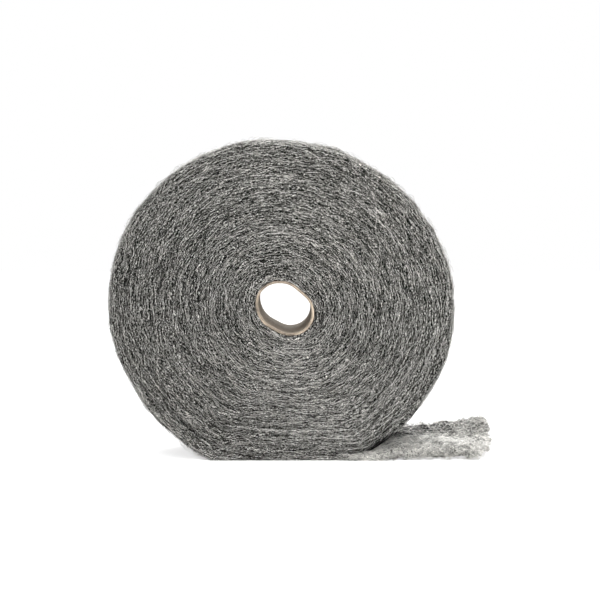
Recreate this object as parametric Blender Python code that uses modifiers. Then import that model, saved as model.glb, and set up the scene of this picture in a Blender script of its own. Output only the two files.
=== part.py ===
"""Reel of steel wool: one long web wound on a cardboard core, standing on its rim.

Metres, +Z up. The origin is on the floor, straight below the core's axis and midway
along it. The web leaves the roll underneath and runs out along the floor towards +X.
"""

import math

import bmesh
import bpy
from mathutils import Matrix, Vector, noise

# The web of steel wool
WEB_WIDTH = 0.100
WOUND_TURNS = 18
EDGE_SLOPE = 0.0010  # how far the web's edges draw in above and below their middle
START_THICKNESS = 0.2  # of a turn's thickness, at the web's first wisp
BAND_RELIEF = 0.0014  # how far its edges stand out and in, in soft bands
BAND_LENGTH = 0.045  # of those, round the roll
BAND_HEIGHT = 0.011  # and through its stack

# The roll's outline, as it stands
ROLL_RADIUS = 0.1254  # mean, where the web leaves it
ROLL_SHIFT_X = -0.0010  # the roll's centre, from the core's axis
ROLL_SHIFT_Z = 0.0016
ROLL_OVAL = 0.0034  # how much longer the long half axis is than the mean
ROLL_OVAL_TURN = math.radians(-20)
ROLL_SAG = 0.0105  # how far its own weight presses the bottom in
ROLL_SHOULDER = 0.0025  # how far it bulges at each end of the pressed flat
RIM_RELIEF = 0.0018  # how far its outer surface stands out and in, in soft lumps
RIM_LUMP = 0.032
RIM_LUMPS_START = math.radians(25)  # the angle over which they come in beside the flat
SQUEEZE = 1.5  # the pressing grows with this power of the place in the stack

# The tail, from where the web leaves the roll
TAIL_LENGTH = 0.099  # along its back margin
TIP_SLANT = 0.012  # how much shorter it is along its front margin
FRONT_CORNER_CUT = 0.006  # and at its rounded front corner
TAIL_THICKNESS = 0.0075
LOOSEN_LENGTH = 0.030  # the length over which the web springs back to that
TAIL_NARROWING = 0.004  # on each side, at the tip
CURL_RISE = 0.0125  # of the back margin at the tip
CURL_WIDTH = 0.030
FRONT_LIFT = 0.0030  # of the front margin at the tip
FRONT_LIFT_WIDTH = 0.022
TIP_LENGTH = 0.024  # the length over which the tail thins out to its tip
TIP_THICKNESS = 0.0035

# The cardboard core, pressed out of round
CORE_STAND_OUT = 0.0005  # how far it stands out of the web, on each face
CORE_WALL = 0.0018
CORE_LONG_HALF = 0.0224
CORE_SHORT_HALF = 0.0186
CORE_OVAL_TURN = math.radians(-35)
CORE_TOP_FLAT = 0.0176  # from the axis to the upper dent
CORE_TOP_FLAT_TURN = math.radians(49.5)
CORE_LOW_FLAT = 0.0179
CORE_LOW_FLAT_TURN = math.radians(242)
DENT_SHARPNESS = 30  # of the bends beside the dents
CORE_RIM_BEVEL = 0.0003
CORE_CLEARANCE = 0.0003  # between the core and the web

# Fineness of the two meshes
STATIONS_PER_TURN = 48
TAIL_STATIONS = 14
OUTER_LINES = 9  # along the last turn and the tail
CORE_SIDES = 64
TURN_WELD = 0.000001

DOWN = math.radians(270)


def ease(share):
    """Goes from 0 to 1 with a level start and end, and stays there outside."""
    share = min(max(share, 0), 1)
    return share * share * (3 - 2 * share)


def core_radius(angle):
    """The core's outer radius at an angle from +X: an oval with two flat dents.

    Each limit is the inverse of a radius, and a high power of all of them rounds the
    bends between them.
    """
    along = math.cos(angle - CORE_OVAL_TURN) / CORE_LONG_HALF
    across = math.sin(angle - CORE_OVAL_TURN) / CORE_SHORT_HALF
    top = math.cos(angle - CORE_TOP_FLAT_TURN) / CORE_TOP_FLAT
    low = math.cos(angle - CORE_LOW_FLAT_TURN) / CORE_LOW_FLAT
    limits = (math.hypot(along, across), max(top, 0), max(low, 0))
    together = sum((limit * CORE_LONG_HALF) ** DENT_SHARPNESS for limit in limits)
    return CORE_LONG_HALF / together ** (1 / DENT_SHARPNESS)


def from_bottom(angle):
    """The unsigned angle between a direction and straight down."""
    return abs((angle - DOWN + math.pi) % (2 * math.pi) - math.pi)


def oval_radius(angle):
    """The roll's outer radius from the core's axis, before any weight is on it."""
    shift = ROLL_SHIFT_X * math.cos(angle) + ROLL_SHIFT_Z * math.sin(angle)
    oval = ROLL_OVAL * math.cos(2 * (angle - ROLL_OVAL_TURN))
    return ROLL_RADIUS + shift + oval


CORE_HEIGHT = oval_radius(DOWN) - ROLL_SAG
FLAT_HALF_ANGLE = math.acos(CORE_HEIGHT / ROLL_RADIUS)
TURN_PITCH = (ROLL_RADIUS - core_radius(DOWN)) / WOUND_TURNS
# The last turn grows by this much over the flat, so the stack aims that far below the
# floor, and the floor then makes all of the flat level
FLAT_DEPTH = CORE_HEIGHT + TURN_PITCH * FLAT_HALF_ANGLE / math.pi
LEAVE_ANGLE = DOWN + FLAT_HALF_ANGLE
WOUND_STATIONS = WOUND_TURNS * STATIONS_PER_TURN


def full_radius(angle):
    """The oval outline, with a shoulder at each end of the flat."""
    off_shoulder = (from_bottom(angle) - FLAT_HALF_ANGLE) / (FLAT_HALF_ANGLE / 2)
    return oval_radius(angle) + ROLL_SHOULDER * math.exp(-(off_shoulder**2))


def stack_radius(angle, share):
    """The radius at a share of the way from the core to the roll's outside."""
    inside = core_radius(angle) + CORE_CLEARANCE
    outside = full_radius(angle)
    radius = inside + share * (outside - inside)
    downward = math.cos(from_bottom(angle))
    if downward > 0:
        pressed = max(outside - FLAT_DEPTH / downward, 0)
        radius -= pressed * share**SQUEEZE
    return radius


def outer_share(turn):
    """The place in the stack of the web's outer side after so many turns."""
    return max(turn, START_THICKNESS) / WOUND_TURNS


def band_relief(x, depth, z, side):
    """How far a place on a face stands out. Side is -1 in front and 1 at the back."""
    place = Vector((x / BAND_LENGTH, z / BAND_LENGTH, depth / BAND_HEIGHT + 40 * side))
    return BAND_RELIEF * noise.noise(place)


def rim_relief(angle, across):
    """How far the roll's outer surface stands out. Where it is pressed flat, it does not."""
    off_flat = ease((from_bottom(angle) - FLAT_HALF_ANGLE) / RIM_LUMPS_START)
    x = ROLL_RADIUS * math.cos(angle)
    z = ROLL_RADIUS * math.sin(angle)
    return RIM_RELIEF * off_flat * noise.noise(Vector((x, across, z)) / RIM_LUMP)


def wound_point(station, across, height):
    """Where a point of the wound web lies. Height is 0 on its inner side, 1 outside."""
    turn = station / STATIONS_PER_TURN
    angle = LEAVE_ANGLE + 2 * math.pi * (turn - WOUND_TURNS)
    inner = stack_radius(angle, outer_share(turn - 1) if turn >= 1 else 0)
    outer = stack_radius(angle, outer_share(turn))
    if turn > WOUND_TURNS - 1:
        outer += rim_relief(angle, across)
    radius = inner + height * (outer - inner)
    x = radius * math.cos(angle)
    z = radius * math.sin(angle)
    depth = radius - core_radius(angle)
    widening = band_relief(x, depth, z, math.copysign(1, across)) / (WEB_WIDTH / 2)
    return Vector((x, across * (1 + widening), max(CORE_HEIGHT + z, 0)))


def tail_point(share, across, height):
    """Where a point of the tail lies, at a share of the way to its tip."""
    margin = WEB_WIDTH / 2
    back = ease((across - margin + CURL_WIDTH) / CURL_WIDTH)
    front = ease((-across - margin + FRONT_LIFT_WIDTH) / FRONT_LIFT_WIDTH)
    cut_back = TIP_SLANT * (0.5 - across / WEB_WIDTH) + FRONT_CORNER_CUT * front
    past = share * (TAIL_LENGTH - cut_back)
    start = wound_point(WOUND_STATIONS, across, height)
    leaving = wound_point(WOUND_STATIONS, across, 0).z
    thickness = leaving + (TAIL_THICKNESS - leaving) * ease(past / LOOSEN_LENGTH)
    thinning = ease(1 - (1 - share) * TAIL_LENGTH / TIP_LENGTH)
    lift = share * (CURL_RISE * back + FRONT_LIFT * front)
    underneath = (thickness - TIP_THICKNESS) * thinning
    above_floor = lift + underneath + (1 - height) * (thickness - underneath)
    narrowed = start.y * (1 - ease(share) * TAIL_NARROWING / margin)
    return Vector((start.x + past, narrowed, above_floor))


def flat_web():
    """The web before it is wound: x counts stations, z is 0 inside and 1 outside.

    Its section is a flat hexagon, so that neighbouring turns leave a groove between
    them on both faces of the roll. Each turn has its stations at the same angles as
    the turn that it lies on.
    """
    web = bmesh.new()
    length = WOUND_STATIONS + TAIL_STATIONS
    centre = Vector((length / 2, 0, 0.5))
    size = Matrix.Diagonal((length, WEB_WIDTH, 1, 1))
    bmesh.ops.create_cube(web, size=1, matrix=Matrix.Translation(centre) @ size)
    everything = web.verts[:] + web.edges[:] + web.faces[:]
    bmesh.ops.bisect_plane(web, geom=everything, plane_co=centre, plane_no=(0, 0, 1))
    for vert in web.verts:
        if vert.co.z != centre.z:
            vert.co.y -= math.copysign(EDGE_SLOPE, vert.co.y)
    lengthways = [e for e in web.edges if e.verts[0].co.x != e.verts[1].co.x]
    bmesh.ops.subdivide_edges(web, edges=lengthways, cuts=length - 1)
    return web


def cut_outer_lines(web):
    """Adds lines along the last turn and the tail, for their lumps and curled margins."""
    start = WOUND_STATIONS - STATIONS_PER_TURN
    for n in range(1, OUTER_LINES + 1):
        line = Vector((0, WEB_WIDTH * (n / (OUTER_LINES + 1) - 0.5), 0))
        faces = [f for f in web.faces if f.calc_center_median().x > start]
        edges = {e for f in faces for e in f.edges}
        verts = {v for f in faces for v in f.verts}
        outer = [*verts, *edges, *faces]
        bmesh.ops.bisect_plane(web, geom=outer, plane_co=line, plane_no=(0, 1, 0))


def remove_hidden_sides(web):
    """Removes both sides of the web where one turn lies on the next.

    What stays of the inner side is the first turn's and the tail's, and of the outer
    side the last turn's and the tail's.
    """
    hidden = []
    for face in web.faces:
        station = face.calc_center_median().x
        height = face.calc_center_median().z
        if height == 0 and STATIONS_PER_TURN < station < WOUND_STATIONS:
            hidden.append(face)
        if height == 1 and station < WOUND_STATIONS - STATIONS_PER_TURN:
            hidden.append(face)
    bmesh.ops.delete(web, geom=hidden, context="FACES")


def wind(web):
    """Moves every point of the flat web to its place, and joins each turn to the next."""
    for vert in web.verts:
        station, across, height = vert.co
        if station > WOUND_STATIONS:
            vert.co = tail_point((station - WOUND_STATIONS) / TAIL_STATIONS, across, height)
        else:
            vert.co = wound_point(station, across, height)
    bmesh.ops.remove_doubles(web, verts=web.verts, dist=TURN_WELD)
    # Outwards is downwards under the core, so winding turns the shape inside out
    bmesh.ops.reverse_faces(web, faces=web.faces)


def open_tube():
    """The core's outer surface: a round tube along Y, then pressed out of round."""
    tube = bmesh.new()
    length = WEB_WIDTH + 2 * CORE_STAND_OUT
    lying = Matrix.Rotation(math.pi / 2, 4, "X")
    bmesh.ops.create_cone(
        tube, segments=CORE_SIDES, radius1=1, radius2=1, depth=length, matrix=lying
    )
    for vert in tube.verts:
        angle = math.atan2(vert.co.z, vert.co.x)
        radius = core_radius(angle)
        vert.co.x = radius * math.cos(angle)
        vert.co.z = CORE_HEIGHT + radius * math.sin(angle)
    bmesh.ops.recalc_face_normals(tube, faces=tube.faces)
    return tube


def add_object(name, shape, material, collection):
    """Makes an object of a bmesh, smooth except at its sharp edges."""
    mesh = bpy.data.meshes.new(name)
    shape.to_mesh(mesh)
    shape.free()
    mesh.materials.append(material)
    mesh.shade_smooth()
    mesh.set_sharp_from_angle(angle=math.radians(30))
    made = bpy.data.objects.new(name, mesh)
    collection.objects.link(made)
    return made


def plain_material(name, colour, roughness, metallic):
    material = bpy.data.materials.new(name)
    material.use_nodes = True
    shader = material.node_tree.nodes["Principled BSDF"]
    shader.inputs["Base Color"].default_value = (*colour, 1)
    shader.inputs["Roughness"].default_value = roughness
    shader.inputs["Metallic"].default_value = metallic
    return material


def make_web(collection):
    web = flat_web()
    cut_outer_lines(web)
    remove_hidden_sides(web)
    wind(web)
    steel = plain_material("steel wool", (0.30, 0.30, 0.29), 0.45, 0.8)
    return add_object("wool_web", web, steel, collection)


def make_core(collection):
    cardboard = plain_material("cardboard", (0.56, 0.42, 0.28), 0.85, 0)
    core = add_object("core_tube", open_tube(), cardboard, collection)
    wall = core.modifiers.new("wall", "SOLIDIFY")
    wall.thickness = CORE_WALL
    wall.offset = -1
    rims = core.modifiers.new("rims", "BEVEL")
    rims.width = CORE_RIM_BEVEL
    rims.segments = 1
    rims.limit_method = "ANGLE"
    rims.angle_limit = math.radians(60)
    return core


def main():
    for leftover in list(bpy.data.objects):
        bpy.data.objects.remove(leftover)
    reel = bpy.data.collections.new("steel wool reel")
    bpy.context.scene.collection.children.link(reel)
    make_core(reel)
    make_web(reel)


main()
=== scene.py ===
"""The looks of a reel of coarse steel wool that stands on its rim, its tail lying out to the right."""

import math

import bpy
import numpy as np
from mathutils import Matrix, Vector, noise


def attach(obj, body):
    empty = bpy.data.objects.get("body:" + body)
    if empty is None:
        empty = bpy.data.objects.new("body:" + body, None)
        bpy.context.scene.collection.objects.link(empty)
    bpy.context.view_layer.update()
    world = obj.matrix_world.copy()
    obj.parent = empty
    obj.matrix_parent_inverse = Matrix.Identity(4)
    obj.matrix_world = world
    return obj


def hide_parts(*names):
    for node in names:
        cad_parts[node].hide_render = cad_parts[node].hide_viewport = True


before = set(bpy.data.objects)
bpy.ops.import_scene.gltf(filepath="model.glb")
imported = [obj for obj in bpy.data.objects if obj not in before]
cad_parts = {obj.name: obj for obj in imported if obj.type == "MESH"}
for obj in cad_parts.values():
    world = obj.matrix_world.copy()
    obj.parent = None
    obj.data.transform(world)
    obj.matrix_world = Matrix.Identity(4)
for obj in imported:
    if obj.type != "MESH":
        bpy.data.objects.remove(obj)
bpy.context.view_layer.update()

# The reel's sizes, as its solids have them, in metres and radians
WEB_WIDTH = 0.100
WOUND_TURNS = 18
START_THICKNESS = 0.2
ROLL_RADIUS = 0.1254
ROLL_SHIFT_X = -0.0010
ROLL_SHIFT_Z = 0.0016
ROLL_OVAL = 0.0034
ROLL_OVAL_TURN = math.radians(-20)
ROLL_SAG = 0.0105
ROLL_SHOULDER = 0.0025
SQUEEZE = 1.5
TAIL_LENGTH = 0.099
TIP_SLANT = 0.012
FRONT_CORNER_CUT = 0.006
TAIL_THICKNESS = 0.0075
LOOSEN_LENGTH = 0.030
TAIL_NARROWING = 0.004
CURL_RISE = 0.0125
CURL_WIDTH = 0.030
FRONT_LIFT = 0.0030
FRONT_LIFT_WIDTH = 0.022
TIP_LENGTH = 0.024
TIP_THICKNESS = 0.0035
CORE_STAND_OUT = 0.0005
CORE_WALL = 0.0018
CORE_LONG_HALF = 0.0224
CORE_SHORT_HALF = 0.0186
CORE_OVAL_TURN = math.radians(-35)
CORE_DENTS = ((0.0176, math.radians(49.5)), (0.0179, math.radians(242)))
DENT_SHARPNESS = 30
CORE_CLEARANCE = 0.0003
HALF_WIDTH = WEB_WIDTH / 2
CORE_HALF_LENGTH = HALF_WIDTH + CORE_STAND_OUT

DOWN = math.radians(270)
FULL_TURN = 2 * math.pi

# The fine body of the web
STATIONS_PER_TURN = 160
TAIL_STATIONS = 60
EDGE_CUTS = 4  # lines along each edge of the web, between its two sides
SIDE_CUTS = 31  # lines along each side of the last turn and the tail
WELD = 0.000001

# Relief of the body, in metres. The bands and lumps are those of the solids
BAND_RELIEF = 0.0014
BAND_LENGTH = 0.045
BAND_HEIGHT = 0.011
RIM_RELIEF = 0.0018
RIM_LUMP = 0.032
RIM_LUMPS_START = math.radians(25)
GROOVE_DEPTH = 0.0012  # between neighbouring turns, on both faces
GAP_DEPTH = 0.0030  # where the web comes away from the roll
GAP_HALF_HEIGHT = 0.0024
CLUMP_RELIEF = 0.0004
TUFT_RELIEF = 0.0007  # of the roll's outer surface
ARRIS = 0.0022  # rounding between each face and the rim
TAIL_ROUNDING = 0.0026
TAIL_RELIEF = 0.0017
BACK_LOFT = 0.0016  # how much puffier the tail is along its back edge
TIP_RAGGED = 0.005
TIP_CORNER = 0.003  # how far the tip's back corner is rounded off

# Tones, from 0 for black to 1 for a bright fibre
BODY_SHADE_TONE = -0.09  # of the tangle, to which its streaks add; kept low as painted shade under and between the strands
GROOVE_SHADE_TONE = 0.10  # painted shade: how much darker the grooves are
RING_TONE = 0.10
LIT_SECTOR_TONE = 0.13  # painted light, in the sector of each face below the core
LIT_SECTOR_TURN = math.radians(278)
LIT_SECTOR_LEAN = math.radians(36)  # how much further round the painted light is at the roll's outer edge
LIT_SECTOR_HALF_ANGLE = math.radians(44)
SIDE_SHADE_TONE = 0.045  # painted shade: how much darker the faces are where the web runs up and down
GAP_SHADE_TONE = 0.75  # painted shade: how much darker they are where the web comes away from the roll
EDGE_LIGHT_TONE = 0.09  # painted light: how much lighter they are along the roll's outer edge

# Strands: slivers of steel, each a thin three-sided tube
STRAND_POINTS = 6
STRAND_WIDTH = 0.00019
FACE_STRANDS = 8000  # in each of the front face's two sets
BACK_STRANDS = 6100
RIM_STRANDS = 6000
TAIL_STRANDS = 5600
FLYING_STRANDS = 3600
RIM_CLEAR = 0.30  # radians on from where the web leaves the roll, in which no strand lies
FLYING_CLEAR = 0.45
SEED = 11

# The mean of each set's tones, and how far they spread
FACE_STRAND_TONES = (0.57, 0.30)
RIM_STRAND_TONES = (0.56, 0.24)
TAIL_STRAND_TONES = (0.72, 0.62)
FLYING_STRAND_TONES = (0.66, 0.20)
PROUD_LIGHT_TONE = 150  # painted light: how much lighter a face's strands are for each metre that they stand out

# The tangle under the strands
SWERVES_PER_LINE = 0.45  # how many swerves of a fibre line there are to its spacing

# The cardboard core
CORE_SIDES = 128
PLIES = 6
PLY_RELIEF = 0.00013
SEAM_LEAD = 0.075  # how far the spiral seam climbs in one turn

# The studio
CAMERA_PLACE = (0.004, -1.32, 0.180)
CAMERA_TARGET = (0.011, -HALF_WIDTH, 0.1168)
CAMERA_LENS = 105.6
FLOOR_GLOW = 0.62  # what the camera sees of the floor besides the light on it
SOFT_LIGHT = 0.6  # the world's, where it isn't seen, mirrored or looked through


def ease(share):
    """Goes from 0 to 1 with a level start and end, and stays there outside."""
    share = np.clip(share, 0, 1)
    return share * share * (3 - 2 * share)


def rough(*places):
    """Smooth noise, from about -1 to 1, at points given by their three coordinates."""
    x, y, z = np.broadcast_arrays(*places)
    values = [noise.noise((a, b, c)) for a, b, c in zip(x.flat, y.flat, z.flat)]
    return np.array(values).reshape(x.shape)


# The shape of the reel


def core_radius(angle):
    """The core's outer radius at an angle from +X: an oval with two flat dents."""
    along = np.cos(angle - CORE_OVAL_TURN) / CORE_LONG_HALF
    across = np.sin(angle - CORE_OVAL_TURN) / CORE_SHORT_HALF
    together = (np.hypot(along, across) * CORE_LONG_HALF) ** DENT_SHARPNESS
    for distance, turn in CORE_DENTS:
        limit = np.maximum(np.cos(angle - turn), 0) / distance
        together = together + (limit * CORE_LONG_HALF) ** DENT_SHARPNESS
    return CORE_LONG_HALF / together ** (1 / DENT_SHARPNESS)


def from_bottom(angle):
    return np.abs((angle - DOWN + math.pi) % FULL_TURN - math.pi)


def oval_radius(angle):
    """The roll's outer radius from the core's axis, before any weight is on it."""
    shift = ROLL_SHIFT_X * np.cos(angle) + ROLL_SHIFT_Z * np.sin(angle)
    return ROLL_RADIUS + shift + ROLL_OVAL * np.cos(2 * (angle - ROLL_OVAL_TURN))


CORE_HEIGHT = float(oval_radius(DOWN)) - ROLL_SAG
FLAT_HALF_ANGLE = math.acos(CORE_HEIGHT / ROLL_RADIUS)
STACK = ROLL_RADIUS - float(core_radius(DOWN))
TURN_PITCH = STACK / WOUND_TURNS
FLAT_DEPTH = CORE_HEIGHT + TURN_PITCH * FLAT_HALF_ANGLE / math.pi
LEAVE_ANGLE = DOWN + FLAT_HALF_ANGLE


def stack_radius(angle, share):
    """The radius at a share of the way from the core to the roll's outside."""
    off_shoulder = (from_bottom(angle) - FLAT_HALF_ANGLE) / (FLAT_HALF_ANGLE / 2)
    inside = core_radius(angle) + CORE_CLEARANCE
    outside = oval_radius(angle) + ROLL_SHOULDER * np.exp(-(off_shoulder**2))
    downward = np.maximum(np.cos(from_bottom(angle)), 0.001)
    pressed = np.maximum(outside - FLAT_DEPTH / downward, 0)
    return inside + share * (outside - inside) - pressed * np.maximum(share, 0) ** SQUEEZE


def polar_point(angle, radius, across):
    """A point round the core's axis, kept off the floor."""
    above_floor = np.maximum(CORE_HEIGHT + radius * np.sin(angle), 0.0001)
    return np.stack(np.broadcast_arrays(radius * np.cos(angle), across, above_floor), axis=-1)


def outer_share(turn):
    """The place in the stack of the web's outer side after so many turns."""
    return np.maximum(turn, START_THICKNESS) / WOUND_TURNS


def top_share(angle):
    """The place in the stack of the roll's outermost surface at an angle."""
    return 1 - ((LEAVE_ANGLE - angle) % FULL_TURN) / FULL_TURN / WOUND_TURNS


def web_place(turn, height):
    """The angle and the place in the stack of a point of the wound web."""
    angle = LEAVE_ANGLE + FULL_TURN * (turn - WOUND_TURNS)
    inner = np.where(turn >= 1, outer_share(turn - 1), 0)
    return angle, inner + height * (outer_share(turn) - inner)


def groove(angle, share):
    """How deep in the groove between two turns a place is, from 0 to 1.

    The grooves wander a little, and come and go round the roll.
    """
    x, z = np.cos(angle), np.sin(angle)
    wander = 0.16 * rough(3 * x, 3 * z, 9 * share)
    height = (share * WOUND_TURNS - (angle - LEAVE_ANGLE) / FULL_TURN + wander) % 1
    come_and_go = 0.65 + 0.6 * rough(2.5 * x + 20, 2.5 * z, 15 * share)
    return np.abs(2 * height - 1) ** 3 * np.clip(come_and_go, 0, 1)


def gap(angle, share):
    """How deep a place is in the gap between the roll and the web that comes away from it."""
    past = (angle - LEAVE_ANGLE + math.pi) % FULL_TURN - math.pi
    reach = ease((past + 0.22) / 0.18) * ease((0.30 - past) / 0.18)
    above = share - (WOUND_TURNS - 1 + past / FULL_TURN) / WOUND_TURNS
    return reach * np.exp(-((above * STACK / GAP_HALF_HEIGHT) ** 2))


def face_relief(angle, share, side):
    """How far a place on a face of the roll stands out. Side is -1 in front, 1 at the back."""
    radius = stack_radius(angle, share)
    x, z, depth = radius * np.cos(angle), radius * np.sin(angle), radius - core_radius(angle)
    clumps = rough(x / 0.030, z / 0.030, depth / 0.0030 + 120 * side)
    bands = rough(x / BAND_LENGTH, z / BAND_LENGTH, depth / BAND_HEIGHT + 40 * side)
    below_rim = np.clip(1 - (top_share(angle) - share) * STACK / ARRIS, 0, 1)
    rounding = ARRIS * (1 - np.sqrt(1 - below_rim**2))
    standing = CLUMP_RELIEF * clumps + BAND_RELIEF * bands - GROOVE_DEPTH * groove(angle, share)
    return standing - rounding - GAP_DEPTH * gap(angle, share)


def face_shade(angle, share, side):
    """How much lighter a place on a face is: soft rings of tone, painted light in a sector low down
    and along the outer edge, and painted shade where the web runs up and down and in the gap where the
    web comes away.
    """
    radius = stack_radius(angle, share)
    x, z, depth = radius * np.cos(angle), radius * np.sin(angle), radius - core_radius(angle)
    rings = rough(x / 0.06, z / 0.06, depth / 0.005 + 200 * side)
    # Painted light in the sector below the core
    off_sector = (angle - LIT_SECTOR_TURN - LIT_SECTOR_LEAN * share + math.pi) % FULL_TURN - math.pi
    inside_rim = ease((top_share(angle) - share) * STACK / 0.015)
    lit_sector = np.exp(-((off_sector / LIT_SECTOR_HALF_ANGLE) ** 2)) * inside_rim
    # Painted light along the roll's outer edge
    at_edge = ease(1 - (top_share(angle) - share) * STACK / 0.0035)
    # Painted shade where the web runs up and down, and in the gap where it comes away
    darker = SIDE_SHADE_TONE * np.cos(angle) ** 2 + GAP_SHADE_TONE * gap(angle, share)
    return RING_TONE * rings + LIT_SECTOR_TONE * lit_sector + EDGE_LIGHT_TONE * at_edge - darker


def rim_relief(angle, across):
    """How far the roll's outer surface stands out. Where it is pressed flat, it does not."""
    off_flat = ease((from_bottom(angle) - FLAT_HALF_ANGLE) / RIM_LUMPS_START)
    x, z = ROLL_RADIUS * np.cos(angle), ROLL_RADIUS * np.sin(angle)
    lumps = rough(x / RIM_LUMP, across / RIM_LUMP, z / RIM_LUMP)
    tufts = rough(x / 0.012, across / 0.006, z / 0.012)
    return off_flat * (RIM_RELIEF * lumps + TUFT_RELIEF * tufts)


def tail_point(way, half_across, height, proud=0):
    """A point of the tail, at a share of the way from where it leaves the roll to its tip.

    Height is 0 on the top of the tail and 1 underneath. Proud is how far the point
    stands off the tail's surface.
    """
    way, half_across, height, proud = np.broadcast_arrays(way, half_across, height, proud)
    across = half_across * HALF_WIDTH
    back = ease((across - HALF_WIDTH + CURL_WIDTH) / CURL_WIDTH)
    front = ease((-across - HALF_WIDTH + FRONT_LIFT_WIDTH) / FRONT_LIFT_WIDTH)
    past = way * (TAIL_LENGTH - TIP_SLANT * (0.5 - across / WEB_WIDTH) - FRONT_CORNER_CUT * front)
    loose = ease(past / LOOSEN_LENGTH)
    last = np.full(way.shape, float(WOUND_TURNS))
    start_angle, start_share = web_place(last, height)
    start = stack_radius(start_angle, start_share) * np.cos(start_angle)
    top_angle, top_share_here = web_place(last, np.zeros(way.shape))
    leaving = polar_point(top_angle, stack_radius(top_angle, top_share_here), 0)[..., 2]
    thickness = leaving + (TAIL_THICKNESS - leaving) * loose
    thinning = ease(1 - (1 - way) * TAIL_LENGTH / TIP_LENGTH)
    lift = way * (CURL_RISE * back + FRONT_LIFT * front)
    underneath = (thickness - TIP_THICKNESS) * thinning

    lumps = rough(past / 0.010, across / 0.008, height + 3)
    lumps = lumps + 0.6 * rough(past / 0.004, across / 0.004, height)
    from_middle = 2 * height - 1
    margin = np.abs(half_across) ** 8
    puffed = thickness - underneath + BACK_LOFT * loose * back
    z = lift + underneath + (1 - height) * puffed
    z = z + from_middle * loose * (TAIL_ROUNDING * 0.35 * margin - TAIL_RELIEF * lumps)
    z = z - from_middle * (0.6 + 0.4 * loose) * proud
    drawn_in = TAIL_ROUNDING * loose * from_middle**2 * np.abs(half_across) ** 6
    y = across * (1 - ease(way) * TAIL_NARROWING / HALF_WIDTH)
    y = y - np.sign(half_across) * (drawn_in - margin * (loose * TAIL_RELIEF * lumps + proud))
    ragged = rough(across / 0.007, height * 2, 5) + 0.3 * from_middle**2
    cut_back = TIP_RAGGED * (ragged - 0.5)
    cut_back = cut_back + TIP_CORNER * ease((half_across - 0.75) / 0.25)
    x = start + past - thinning * cut_back
    return np.stack([x, y, np.maximum(z, 0.0002)], axis=-1)


# Materials


def add_node(tree, kind, sockets=None, **settings):
    """Adds a shader node. Each socket takes a value, or another node's output."""
    node = tree.nodes.new("ShaderNode" + kind)
    for name, value in settings.items():
        setattr(node, name, value)
    for name, value in (sockets or {}).items():
        if isinstance(value, bpy.types.NodeSocket):
            tree.links.new(value, node.inputs[name])
        else:
            node.inputs[name].default_value = value
    return node


def maths(tree, operation, first, second=0.0):
    return add_node(tree, "Math", {0: first, 1: second}, operation=operation).outputs[0]


def set_ramp(ramp, stops):
    """Fills a colour ramp with pairs of a position and a colour."""
    while len(ramp.elements) < len(stops):
        ramp.elements.new(0.5)
    for element, (position, colour) in zip(ramp.elements, stops):
        element.position = position
        element.color = (*colour, 1)


def new_group(name, inputs, outputs):
    """A node group with its named sockets, its input node and its output node."""
    group = bpy.data.node_groups.new(name, "ShaderNodeTree")
    for way, sockets in (("INPUT", inputs), ("OUTPUT", outputs)):
        for socket, kind in sockets.items():
            group.interface.new_socket(socket, in_out=way, socket_type="NodeSocket" + kind)
    return group, group.nodes.new("NodeGroupInput"), group.nodes.new("NodeGroupOutput")


def steel_colour_group():
    """The steel's colour for a tone, from 0 deep between the fibres to 1 on a bright one."""
    group, given, out = new_group("steel_colour", {"Tone": "Float"}, {"Colour": "Color"})
    ramp = add_node(group, "ValToRGB", {"Fac": given.outputs["Tone"]})
    stops = (
        (0.0, (0.005, 0.005, 0.0046)),
        (0.3, (0.055, 0.054, 0.050)),
        (0.6, (0.31, 0.305, 0.285)),
        (1.0, (0.92, 0.905, 0.865)),
    )
    set_ramp(ramp.color_ramp, stops)
    group.links.new(ramp.outputs["Color"], out.inputs["Colour"])
    return group


def streaks_group():
    """Streaks that follow the winding: long round the roll, short through the stack."""
    inputs = {"Place": "Vector", "Depth": "Float", "Length": "Float", "Height": "Float"}
    group, given, out = new_group("winding_streaks", inputs, {"Streaks": "Float"})
    per_metre = maths(group, "DIVIDE", 1.0, given.outputs["Length"])
    sockets = {0: given.outputs["Place"], "Scale": per_metre}
    along = add_node(group, "VectorMath", sockets, operation="SCALE")
    up = maths(group, "DIVIDE", given.outputs["Depth"], given.outputs["Height"])
    sockets = {
        "Vector": along.outputs["Vector"],
        "W": up,
        "Scale": 1,
        "Detail": 0.5,
        "Distortion": 0.4,
    }
    streaks = add_node(group, "TexNoise", sockets, noise_dimensions="4D")
    group.links.new(streaks.outputs["Fac"], out.inputs["Streaks"])
    return group


def fibre_lines_group():
    """Evenly spaced lines round the roll, which swerve and break up like crimped fibres."""
    inputs = {"Place": "Vector", "Depth": "Float", "Spacing": "Float", "Swerve": "Float"}
    group, given, out = new_group("fibre_lines", inputs, {"Lines": "Float"})
    turns = maths(group, "DIVIDE", given.outputs["Depth"], given.outputs["Spacing"])
    per_metre = maths(group, "DIVIDE", SWERVES_PER_LINE, given.outputs["Spacing"])
    sockets = {0: given.outputs["Place"], "Scale": per_metre}
    along = add_node(group, "VectorMath", sockets, operation="SCALE")
    up = maths(group, "MULTIPLY", turns, SWERVES_PER_LINE)
    sockets = {"Vector": along.outputs["Vector"], "W": up, "Scale": 1, "Detail": 1}
    swerving = add_node(group, "TexNoise", sockets, noise_dimensions="4D")
    swerve = maths(group, "MULTIPLY", swerving.outputs["Fac"], given.outputs["Swerve"])
    phase = maths(group, "MULTIPLY", maths(group, "ADD", turns, swerve), FULL_TURN)
    group.links.new(maths(group, "SINE", phase), out.inputs["Lines"])
    return group


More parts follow.
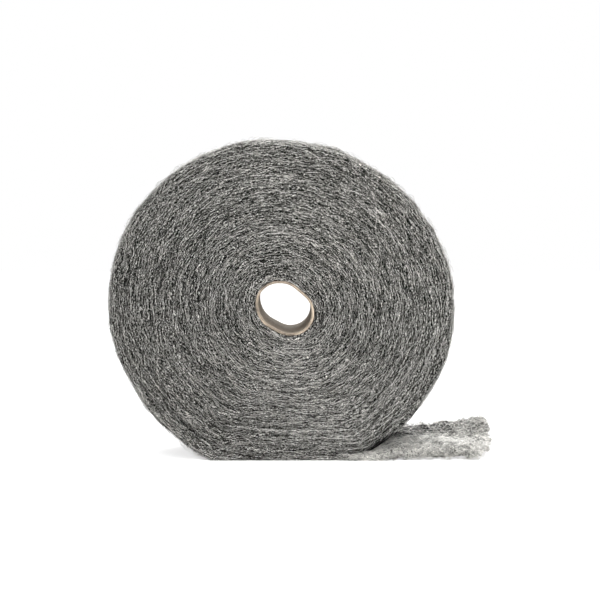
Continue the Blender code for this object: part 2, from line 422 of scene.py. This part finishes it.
def mottle_group():
    """Fine soft mottling, for steel and for cardboard, centred on nothing."""
    inputs = {"Place": "Vector", "Size": "Float"}
    group, given, out = new_group("mottle", inputs, {"Mottle": "Float"})
    per_metre = maths(group, "DIVIDE", 1.0, given.outputs["Size"])
    sockets = {"Vector": given.outputs["Place"], "Scale": per_metre, "Detail": 2}
    spots = add_node(group, "TexNoise", sockets)
    centred = maths(group, "SUBTRACT", spots.outputs["Fac"], 0.5)
    group.links.new(centred, out.inputs["Mottle"])
    return group


def place_group(tree, group, sockets):
    """Places a node group, and gives its one output."""
    return add_node(tree, "Group", sockets, node_tree=group).outputs[0]


def new_material(name, roughness, metallic):
    material = bpy.data.materials.new(name)
    material.use_nodes = True
    tree = material.node_tree
    shader = tree.nodes["Principled BSDF"]
    shader.inputs["Roughness"].default_value = roughness
    shader.inputs["Metallic"].default_value = metallic
    place = add_node(tree, "TexCoord").outputs["Object"]
    return material, tree, shader, place


def read_attribute(tree, name):
    return add_node(tree, "Attribute", attribute_name=name).outputs["Fac"]


def strand_material(steel_colour, mottle):
    """Bright cut steel: each sliver has its tone, with painted highlights that come and go along it,
    where it is also less rough.
    """
    material, tree, shader, place = new_material("steel_strands", 0.36, 0.85)
    painted_glints = place_group(tree, mottle, {"Place": place, "Size": 0.0009})
    # Painted highlights along each strand, swung into its tone
    swing = maths(tree, "MULTIPLY", painted_glints, 2.6)
    tone = maths(tree, "ADD", read_attribute(tree, "tone"), swing)
    colour = place_group(tree, steel_colour, {"Tone": tone})
    tree.links.new(colour, shader.inputs["Base Color"])
    dull = maths(tree, "MULTIPLY", painted_glints, -0.5)
    tree.links.new(maths(tree, "ADD", dull, 0.36), shader.inputs["Roughness"])
    return material


def tangle_material(steel_colour, streaks, fibre_lines):
    """The mass of fine steel under the strands: streaks that follow the winding, on tones kept low as
    painted shade.
    """
    material, tree, shader, place = new_material("steel_tangle", 0.70, 0.5)
    shader.inputs["Specular IOR Level"].default_value = 0
    shader.inputs["Specular Tint"].default_value = (0.1, 0.1, 0.1, 1)
    depth = read_attribute(tree, "depth")
    wound = {"Place": place, "Depth": depth}
    fine = place_group(tree, streaks, {**wound, "Length": 0.0008, "Height": 0.00021})
    coarse = place_group(tree, streaks, {**wound, "Length": 0.010, "Height": 0.0007})
    fine = maths(tree, "MULTIPLY", fine, 0.92)
    both = maths(tree, "ADD", fine, maths(tree, "MULTIPLY", coarse, 0.08))
    lines = place_group(tree, fibre_lines, {**wound, "Spacing": 0.0019, "Swerve": 2.4})
    swing = maths(tree, "MULTIPLY", maths(tree, "SUBTRACT", both, 0.5), 5.4)
    swing = maths(tree, "ADD", swing, maths(tree, "MULTIPLY", lines, 0.32))
    tone = maths(tree, "ADD", swing, read_attribute(tree, "tone"))
    colour = place_group(tree, steel_colour, {"Tone": tone})
    tree.links.new(colour, shader.inputs["Base Color"])
    bump = add_node(tree, "Bump", {"Strength": 0.9, "Distance": 0.0005, "Height": both})
    tree.links.new(bump.outputs["Normal"], shader.inputs["Normal"])
    return material


def cardboard_material(mottle):
    """Kraft board: pale on its cut rims, dull inside, with ply lines and a spiral seam."""
    material, tree, shader, place = new_material("core_cardboard", 0.88, 0)
    shader.inputs["Specular IOR Level"].default_value = 0.3
    pulp = place_group(tree, mottle, {"Place": place, "Size": 0.0016})
    stains = place_group(tree, mottle, {"Place": place, "Size": 0.012})
    through = read_attribute(tree, "through")
    board = add_node(tree, "ValToRGB", {"Fac": through})
    stops = (
        (0.0, (0.52, 0.45, 0.37)),
        (0.14, (0.17, 0.12, 0.08)),
        (0.30, (0.27, 0.225, 0.175)),
        (0.75, (0.35, 0.295, 0.235)),
        (1.0, (0.12, 0.08, 0.05)),
    )
    set_ramp(board.color_ramp, stops)

    apart = add_node(tree, "SeparateXYZ", {"Vector": place})
    above_axis = maths(tree, "SUBTRACT", apart.outputs["Z"], CORE_HEIGHT)
    angle = maths(tree, "ARCTAN2", above_axis, apart.outputs["X"])
    turned = maths(tree, "DIVIDE", angle, FULL_TURN)
    climbed = maths(tree, "DIVIDE", apart.outputs["Y"], SEAM_LEAD)
    to_seam = maths(tree, "PINGPONG", maths(tree, "ADD", turned, climbed), 0.5)
    seam = maths(tree, "LESS_THAN", to_seam, 0.006)

    ply = maths(tree, "PINGPONG", maths(tree, "MULTIPLY", through, PLIES), 0.5)
    ply_line = maths(tree, "LESS_THAN", ply, 0.12)
    lines = maths(tree, "MAXIMUM", seam, ply_line)
    shade = maths(tree, "SUBTRACT", 1.0, maths(tree, "MULTIPLY", lines, 0.30))
    shade = maths(tree, "ADD", shade, maths(tree, "MULTIPLY", pulp, 1.3))
    stained = maths(tree, "MULTIPLY", stains, maths(tree, "MULTIPLY", through, 5.0))
    shade = maths(tree, "ADD", shade, stained)
    sockets = {0: board.outputs["Color"], "Scale": shade}
    colour = add_node(tree, "VectorMath", sockets, operation="SCALE")
    tree.links.new(colour.outputs["Vector"], shader.inputs["Base Color"])
    height = maths(tree, "SUBTRACT", pulp, maths(tree, "MULTIPLY", lines, 0.5))
    bump = add_node(tree, "Bump", {"Strength": 0.5, "Distance": 0.0003, "Height": height})
    tree.links.new(bump.outputs["Normal"], shader.inputs["Normal"])
    return material


# Flat strips that are wound into place


def points_of(mesh):
    flat = np.empty(len(mesh.vertices) * 3)
    mesh.vertices.foreach_get("co", flat)
    return flat.reshape(-1, 3)


def set_values(mesh, name, values):
    mesh.attributes.new(name, "FLOAT", "POINT").data.foreach_set("value", values)


def delete_faces(piece, unwanted):
    """Deletes the faces for which a list says so."""
    bpy.ops.object.mode_set(mode="EDIT")
    bpy.ops.mesh.select_mode(type="FACE")
    bpy.ops.mesh.select_all(action="DESELECT")
    bpy.ops.object.mode_set(mode="OBJECT")
    piece.data.polygons.foreach_set("select", unwanted)
    bpy.ops.object.mode_set(mode="EDIT")
    bpy.ops.mesh.delete(type="FACE")
    bpy.ops.object.mode_set(mode="OBJECT")


def face_centres(mesh):
    flat = np.empty(len(mesh.polygons) * 3)
    mesh.polygons.foreach_get("center", flat)
    return flat.reshape(-1, 3)


def flat_strip(name, stations, edge_cuts, side_cuts):
    """A straight strip, open at both ends: x counts stations, y is -1 to 1, z is 0 to 1."""
    bpy.ops.mesh.primitive_cube_add(size=1, location=(0.5, 0, 0.5), scale=(1, 2, 1))
    strip = bpy.context.active_object
    strip.name = name
    bpy.ops.object.transform_apply(location=True, rotation=True, scale=True)
    delete_faces(strip, np.abs(face_centres(strip.data)[:, 0] - 0.5) > 0.4)
    bpy.ops.object.mode_set(mode="EDIT")
    for cut in range(1, edge_cuts + 1):
        bpy.ops.mesh.select_all(action="SELECT")
        bpy.ops.mesh.bisect(plane_co=(0, 0, cut / (edge_cuts + 1)), plane_no=(0, 0, 1))
    for cut in range(1, side_cuts + 1):
        bpy.ops.mesh.select_all(action="SELECT")
        bpy.ops.mesh.bisect(plane_co=(0, 2 * cut / (side_cuts + 1) - 1, 0), plane_no=(0, 1, 0))
    bpy.ops.object.mode_set(mode="OBJECT")
    row = strip.modifiers.new("row", "ARRAY")
    row.count = stations
    row.use_merge_vertices = True
    row.merge_threshold = 0.0001
    bpy.ops.object.modifier_apply(modifier=row.name)
    return strip


def close_up(strip):
    """Welds what meets, closes the open ends, and turns the faces the right way out."""
    bpy.ops.object.mode_set(mode="EDIT")
    bpy.ops.mesh.select_mode(type="VERT")
    bpy.ops.mesh.select_all(action="SELECT")
    bpy.ops.mesh.remove_doubles(threshold=WELD)
    bpy.ops.mesh.select_all(action="SELECT")
    bpy.ops.mesh.fill_holes(sides=0)
    bpy.ops.mesh.select_all(action="SELECT")
    bpy.ops.mesh.normals_make_consistent(inside=False)
    bpy.ops.object.mode_set(mode="OBJECT")
    strip.data.update()
    bpy.ops.object.shade_smooth_by_angle(angle=math.radians(50))


def finish_piece(piece, material, slot, *nodes):
    piece.data.materials.clear()
    piece.data.materials.append(material)
    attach(piece, "root")
    if nodes:
        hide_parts(*nodes)


def move_points(strip, places):
    strip.data.vertices.foreach_set("co", places.reshape(-1))


def make_wound_turns(tangle):
    """All turns but the last, welded into one body with grooves on both faces."""
    stations = (WOUND_TURNS - 1) * STATIONS_PER_TURN
    strip = flat_strip("wound_turns", stations, EDGE_CUTS, 0)
    station, _, height = face_centres(strip.data).T
    under = (height < 0.01) & (station > STATIONS_PER_TURN)
    over = (height > 0.99) & (station < stations - STATIONS_PER_TURN)
    delete_faces(strip, under | over)
    station, half_across, height = points_of(strip.data).T
    angle, share = web_place(station / STATIONS_PER_TURN, height)
    side = np.sign(half_across)
    across = side * (HALF_WIDTH + face_relief(angle, share, side))
    move_points(strip, polar_point(angle, stack_radius(angle, share), across))
    set_values(strip.data, "depth", share * STACK + across)
    # Painted shade and light: the tangle's low tone, less in the grooves, plus the faces' painted
    # light and shade
    tone = BODY_SHADE_TONE - GROOVE_SHADE_TONE * groove(angle, share) + face_shade(angle, share, side)
    set_values(strip.data, "tone", tone)
    close_up(strip)
    finish_piece(strip, tangle, "steel_wool", "wool_web")


def tail_light_and_shade(way, half_across, height):
    """Painted light and shade of the tail: the loosened wool is lighter and lit underneath towards the
    tip, and its top has a painted shadow under the roll and in the curl.
    """
    # Painted shadow over the top behind a line that moves back along the tail, strongest under the
    # roll
    shade_line = 0.9 - 1.95 * np.exp(-np.maximum(way, 0) / 0.30)
    behind = ease((half_across - shade_line) / 0.16 + 0.5) * (1 - ease((way - 0.78) / 0.14))
    painted_shadow = behind * (1 - ease(height / 0.3)) * (way > 0)
    under_roll = np.exp(-((np.maximum(way, 0) / 0.30) ** 2))
    # Painted light: the loosened wool is made lighter
    loose = 0.40 * ease((way + 0.16) / 0.16) * (1 - painted_shadow)
    # Painted light under the tail towards the tip
    underside_light = 0.20 * ease((height - 0.6) / 0.3) * ease((way - 0.3) / 0.3)
    mottled = 0.20 * rough(way / 0.06, half_across / 0.16, height)
    # Painted light and shade at the tip: darker just before its end, lighter at the very end
    tip = 0.20 * ease((way - 0.8) / 0.15) - 0.35 * ease((way - 0.95) / 0.05)
    return loose + underside_light + mottled * (way > 0) - (1.4 * under_roll - 0.04) * painted_shadow - tip


def make_outer_turn(tangle):
    """The last turn and the tail that it runs out into."""
    stations = STATIONS_PER_TURN + TAIL_STATIONS
    strip = flat_strip("outer_turn_and_tail", stations, EDGE_CUTS, SIDE_CUTS)
    station, half_across, height = points_of(strip.data).T
    turn = WOUND_TURNS - 1 + np.minimum(station / STATIONS_PER_TURN, 1)
    way = (station - STATIONS_PER_TURN) / TAIL_STATIONS
    angle, share = web_place(turn, height)
    side = np.sign(half_across)
    edge = np.clip(1 - (1 - np.abs(half_across)) * HALF_WIDTH / ARRIS, 0, 1)
    across = half_across * HALF_WIDTH
    across = across + side * edge * face_relief(angle, share, side)
    radius = stack_radius(angle, share) + height**3 * rim_relief(angle, across)
    wound = polar_point(angle, radius, across)
    laid = tail_point(np.maximum(way, 0), half_across, height)
    place = np.where((way > 0)[:, None], laid, wound)
    move_points(strip, place)
    set_values(strip.data, "depth", share * STACK + half_across * HALF_WIDTH)
    # Painted light and shade of the faces and the tail, carried into the tone
    shade = face_shade(angle, share, side) - GROOVE_SHADE_TONE * groove(angle, share)
    tone = BODY_SHADE_TONE + edge * shade * (way <= 0) + 1.3 * tail_light_and_shade(way, half_across, height)
    set_values(strip.data, "tone", tone)
    close_up(strip)
    finish_piece(strip, tangle, "steel_wool", "wool_web")


# Strands


def strand_profile():
    """The three-sided outline, one wide, that every strand is drawn with."""
    bpy.ops.curve.primitive_bezier_circle_add(radius=0.5)
    bpy.context.active_object.name = "strand_profile"
    profile = bpy.context.active_object
    profile.data.dimensions = "2D"
    profile.data.splines.clear()
    corners = profile.data.splines.new("POLY")
    corners.points.add(2)
    for point, turn in zip(corners.points, (0, 120, 240)):
        angle = math.radians(turn)
        point.co = (0.5 * math.cos(angle), 0.34 * math.sin(angle), 0, 1)
    corners.use_cyclic_u = True
    return profile


def draw_strands(name, paths, widths, tones, profile, material):
    """One piece of many strands. Paths is strands by points by 3."""
    curve = bpy.data.curves.new(name, "CURVE")
    curve.dimensions = "3D"
    curve.bevel_mode = "OBJECT"
    curve.bevel_object = profile
    count, points = paths.shape[:2]
    taper = np.sin(np.linspace(0, math.pi, points)) ** 0.5
    taper[0] = taper[-1] = 0
    for path, width in zip(paths, widths):
        spline = curve.splines.new("POLY")
        spline.points.add(points - 1)
        flat = np.concatenate([path, np.ones((points, 1))], axis=1)
        spline.points.foreach_set("co", flat.reshape(-1))
        spline.points.foreach_set("radius", taper * width)
    drawn = bpy.data.objects.new(name, curve)
    bpy.context.scene.collection.objects.link(drawn)
    bpy.ops.object.select_all(action="DESELECT")
    drawn.select_set(True)
    bpy.context.view_layer.objects.active = drawn
    bpy.ops.object.convert(target="MESH")
    piece = bpy.context.active_object
    set_values(piece.data, "tone", np.repeat(tones, len(piece.data.vertices) // count))
    bpy.ops.object.mode_set(mode="EDIT")
    bpy.ops.mesh.select_all(action="SELECT")
    bpy.ops.mesh.remove_doubles(threshold=1e-7)
    bpy.ops.object.mode_set(mode="OBJECT")
    finish_piece(piece, material, "steel_wool")


def column(rng, count, low, high):
    return rng.uniform(low, high, (count, 1))


def crimp(rng, steps, wave, size):
    """Waves along each strand: two wave lengths with chance phases."""
    count = len(steps)
    phase = column(rng, count, 0, FULL_TURN), column(rng, count, 0, FULL_TURN)
    pace = column(rng, count, 0.7, 1.4), column(rng, count, 1.3, 2.4)
    first = np.sin(FULL_TURN * steps / wave * pace[0] + phase[0])
    second = np.sin(FULL_TURN * steps / wave * pace[1] + phase[1])
    return size * (0.75 * first + 0.45 * second)


def strand_steps(rng, count, mean_length):
    """How far each point of each strand is from the strand's middle."""
    length = rng.lognormal(math.log(mean_length), 0.3, (count, 1))
    return length * np.linspace(-0.5, 0.5, STRAND_POINTS)


def face_strands(rng, count, side, stray):
    """Strands along a face of the roll, and their tones. Stray ones are short and slant more."""
    steps = strand_steps(rng, count, 0.015 - 0.010 * stray)
    angle = column(rng, count, 0, FULL_TURN)
    inner = float(core_radius(0.0)) / ROLL_RADIUS
    even = column(rng, count, inner**2, 1) ** 0.5
    share = np.clip((even - inner) / (1 - inner), 0.005, 1)
    radius = stack_radius(angle, share)
    slant = rng.normal(0, 0.12 + 0.35 * stray, (count, 1)) + TURN_PITCH / (FULL_TURN * radius)
    climb = steps * slant + crimp(rng, steps, 0.0070 - 0.004 * stray, 0.0005)
    angle = angle + steps / radius
    x, z = radius * np.cos(angle), radius * np.sin(angle)
    climb = climb + 0.0009 * rough(x / 0.008, z / 0.008, 3.0 * side)
    share = np.clip(share + climb / STACK, 0, top_share(angle) + 0.004)
    proud = column(rng, count, -0.0008, 0.0004 + 0.0006 * stray)
    proud = proud + crimp(rng, steps, 0.008, 0.0003 + 0.0003 * stray)
    y = side * (HALF_WIDTH + face_relief(angle, share, side) + proud)
    paths = polar_point(angle, stack_radius(angle, share), y)
    middle = np.s_[:, STRAND_POINTS // 2]
    # Each strand takes the painted light and shade of the face under it
    shade = face_shade(angle[middle], share[middle], side)
    shade = shade - GROOVE_SHADE_TONE * groove(angle[middle], share[middle])
    tones = rng.normal(*FACE_STRAND_TONES, count) + PROUD_LIGHT_TONE * np.mean(proud, axis=1) + shade
    return paths, tones


def rim_angle(rng, steps, clear):
    """Angles along strands on the roll's outer surface, a clear angle on from the tail."""
    middle = LEAVE_ANGLE - FULL_TURN + column(rng, len(steps), clear, FULL_TURN)
    return middle + steps / ROLL_RADIUS


def rim_strands(rng, count):
    """Strands that lie round the roll's outer surface."""
    steps = strand_steps(rng, count, 0.016)
    angle = rim_angle(rng, steps, RIM_CLEAR)
    across = HALF_WIDTH * np.sin(column(rng, count, -0.5 * math.pi, 0.5 * math.pi))
    # Painted light: strands near the roll's arrises are lighter
    arris_light = 0.14 * ease(1 - (HALF_WIDTH - np.abs(across[:, 0])) / 0.004)
    across = across + steps * rng.normal(0, 0.28, (count, 1)) + crimp(rng, steps, 0.009, 0.0009)
    across = np.clip(across, -HALF_WIDTH, HALF_WIDTH)
    proud = column(rng, count, -0.0004, 0.0006) + crimp(rng, steps, 0.010, 0.0005)
    inward = ARRIS * np.clip(1 - (HALF_WIDTH - np.abs(across)) / ARRIS, 0, 1) ** 2
    radius = stack_radius(angle, top_share(angle)) + rim_relief(angle, across) + proud - inward
    tones = rng.normal(*RIM_STRAND_TONES, count) + arris_light
    return polar_point(angle, radius, across), tones


def tail_strands(rng, count):
    """Strands over the tail's top, edges and tip, looser than those of the roll."""
    steps = strand_steps(rng, count, 0.011)
    where = rng.uniform(0, 1, (count, 1))
    half_across = rng.uniform(-0.98, 0.98, (count, 1))
    half_across = np.where(where < 0.20, -1, np.where(where < 0.28, 1, half_across))
    on_edge = np.abs(half_across) == 1
    height = np.where(on_edge, rng.uniform(0, 1, (count, 1)), 0.0)
    way_on_edge = rng.uniform(-0.16, 1, (count, 1))
    way = np.where(on_edge, way_on_edge, rng.uniform(0, 1, (count, 1)) ** 1.4)
    at_tip = rng.uniform(0, 1, (count, 1)) < 0.22
    way = np.where(at_tip, rng.uniform(0.91, 1.01, (count, 1)), way)
    turned = rng.normal(0, np.where(at_tip, 1.2, 0.7))
    sideways = steps * np.sin(turned) + crimp(rng, steps, 0.0060, 0.0013)
    way = way + steps * np.cos(turned) / TAIL_LENGTH
    moved_across = np.clip(half_across + sideways / HALF_WIDTH, -1, 1)
    half_across = np.where(on_edge, half_across, moved_across)
    height = np.where(on_edge, np.clip(height + sideways / TAIL_THICKNESS, 0, 1), height)
    loop = np.sin(np.linspace(0, math.pi, STRAND_POINTS))
    rise = np.minimum(rng.exponential(0.0012, (count, 1)), 0.0035)
    proud = column(rng, count, -0.0004, 0.0008) + rise * loop + crimp(rng, steps, 0.006, 0.0009)
    over_roll, beyond_tip = np.minimum(way, 0), np.clip(way - 1, 0, 0.06)
    paths = tail_point(np.clip(way, 0, 1), half_across, height, proud)
    paths[..., 0] += TAIL_LENGTH * (over_roll + beyond_tip)
    paths[..., 2] -= at_tip * column(rng, count, 0, 0.006)
    paths[..., 2] = np.maximum(paths[..., 2], 0.0003)
    middle = np.s_[:, STRAND_POINTS // 2]
    tones = rng.normal(*TAIL_STRAND_TONES, count)
    tones = tones + tail_light_and_shade(way[middle], half_across[middle], height[middle])
    return paths, tones


def flying_strands(rng, count):
    """Short crinkled strands that stand off the roll's outer surface, most near its two rims."""
    steps = strand_steps(rng, count, 0.008)
    angle = rim_angle(rng, steps, FLYING_CLEAR)
    from_arris = rng.exponential(0.006, (count, 1)) % HALF_WIDTH
    across = rng.choice((-1, 1), (count, 1)) * (HALF_WIDTH - from_arris)
    across = across + steps * rng.normal(0, 0.5, (count, 1)) + crimp(rng, steps, 0.005, 0.0008)
    across = np.clip(across, -HALF_WIDTH, HALF_WIDTH)
    loop = np.sin(np.linspace(0, math.pi, STRAND_POINTS))
    rise = np.minimum(rng.exponential(0.0009, (count, 1)), 0.0028)
    proud = 0.0002 + rise * loop + steps * rng.normal(0, 0.10, (count, 1))
    proud = proud + crimp(rng, steps, 0.005, 0.0003)
    radius = stack_radius(angle, top_share(angle)) + rim_relief(angle, across) + proud
    return polar_point(angle, radius, across), rng.normal(*FLYING_STRAND_TONES, count)


def make_strands(material):
    rng = np.random.default_rng(SEED)
    profile = strand_profile()
    sets = (
        ("front_strands", 1.0, face_strands(rng, FACE_STRANDS, -1, 0)),
        ("front_stray_strands", 1.0, face_strands(rng, FACE_STRANDS, -1, 0.5)),
        ("back_strands", 1.1, face_strands(rng, BACK_STRANDS, 1, 0.25)),
        ("rim_strands", 1.1, rim_strands(rng, RIM_STRANDS)),
        ("tail_strands", 1.7, tail_strands(rng, TAIL_STRANDS)),
        ("flying_strands", 1.0, flying_strands(rng, FLYING_STRANDS)),
    )
    for name, thickness, (paths, tones) in sets:
        widths = STRAND_WIDTH * thickness * rng.lognormal(0, 0.25, len(paths))
        draw_strands(name, paths, widths, tones, profile, material)
    bpy.data.objects.remove(profile)


# The core


def make_core(cardboard):
    """The cardboard tube: its plies part a little at the rims, and it is pressed out of round."""
    tube = flat_strip("cardboard_core", CORE_SIDES, 2 * PLIES - 1, 15)
    station, half_across, through = points_of(tube.data).T
    angle = FULL_TURN * station / CORE_SIDES
    radius = core_radius(angle) - CORE_WALL * (1 - through)
    parting = np.abs(rough(6 * np.cos(angle), 6 * np.sin(angle), 9 * through))
    ply_top = (np.rint(through * 2 * PLIES) % 2) * (0.4 + 0.6 * parting)
    rim = np.abs(half_across) == 1
    across = half_across * (CORE_HALF_LENGTH - PLY_RELIEF)
    across = across + rim * np.sign(half_across) * PLY_RELIEF * ply_top
    radius = radius + 0.00012 * rough(8 * np.cos(angle), 8 * np.sin(angle), 40 * across)
    move_points(tube, polar_point(angle, radius, across))
    set_values(tube.data, "through", through)
    close_up(tube)
    finish_piece(tube, cardboard, "cardboard", "core_tube")


# The studio


def make_floor():
    """A pale floor, white to the camera except where the reel shades it."""
    bpy.ops.mesh.primitive_plane_add(size=8, location=(0, 0, 0))
    floor = bpy.context.active_object
    floor.name = "floor"
    material, tree, shader, _ = new_material("pale_floor", 0.9, 0)
    shader.inputs["Base Color"].default_value = (0.80, 0.80, 0.80, 1)
    shader.inputs["Emission Color"].default_value = (1, 1, 1, 1)
    seen = add_node(tree, "LightPath").outputs["Is Camera Ray"]
    tree.links.new(maths(tree, "MULTIPLY", seen, FLOOR_GLOW), shader.inputs["Emission Strength"])
    floor.data.materials.append(material)


def make_world():
    """White where it is seen, mirrored or looked through, and a soft light elsewhere."""
    world = bpy.data.worlds.new("studio")
    bpy.context.scene.world = world
    world.use_nodes = True
    tree = world.node_tree
    tree.nodes.clear()
    path = add_node(tree, "LightPath").outputs
    seen = maths(tree, "MAXIMUM", path["Is Camera Ray"], path["Is Glossy Ray"])
    seen = maths(tree, "MAXIMUM", seen, path["Is Transmission Ray"])
    white = add_node(tree, "Background", {"Color": (1, 1, 1, 1), "Strength": 1})
    soft = add_node(tree, "Background", {"Color": (1, 1, 1, 1), "Strength": SOFT_LIGHT})
    sockets = {"Fac": seen, 1: soft.outputs[0], 2: white.outputs[0]}
    mixed = add_node(tree, "MixShader", sockets)
    add_node(tree, "OutputWorld", {"Surface": mixed.outputs[0]})


def aim(thing, target):
    direction = Vector(target) - thing.location
    thing.rotation_euler = direction.to_track_quat("-Z", "Y").to_euler()


def add_lamp(name, place, size, power):
    bpy.ops.object.light_add(type="AREA", location=place)
    lamp = bpy.context.active_object
    lamp.name = name
    lamp.data.size = size
    lamp.data.energy = power
    aim(lamp, (0, 0, CORE_HEIGHT))


def make_camera():
    bpy.ops.object.camera_add(location=CAMERA_PLACE)
    camera = bpy.context.active_object
    camera.data.lens = CAMERA_LENS
    aim(camera, CAMERA_TARGET)
    bpy.context.scene.camera = camera


def make_studio():
    make_camera()
    make_world()
    add_lamp("overhead", (0.1, -0.25, 1.5), 1.4, 21.5)
    add_lamp("front_left", (-1.2, -1.6, 1.1), 1.2, 5)
    add_lamp("low_right", (0.19, -0.62, 0.24), 0.25, 3.0)
    add_lamp("behind", (0.0, 1.3, 0.95), 0.6, 10)
    make_floor()
    bpy.context.scene.view_settings.view_transform = "Standard"


def corners(box):
    return [[float(c) for c in corner] for corner in box]


def make_reel():
    steel_colour, streaks, mottle = steel_colour_group(), streaks_group(), mottle_group()
    make_core(cardboard_material(mottle))
    tangle = tangle_material(steel_colour, streaks, fibre_lines_group())
    make_wound_turns(tangle)
    make_outer_turn(tangle)
    make_strands(strand_material(steel_colour, mottle))


bpy.ops.object.select_all(action="DESELECT")
make_studio()
make_reel()
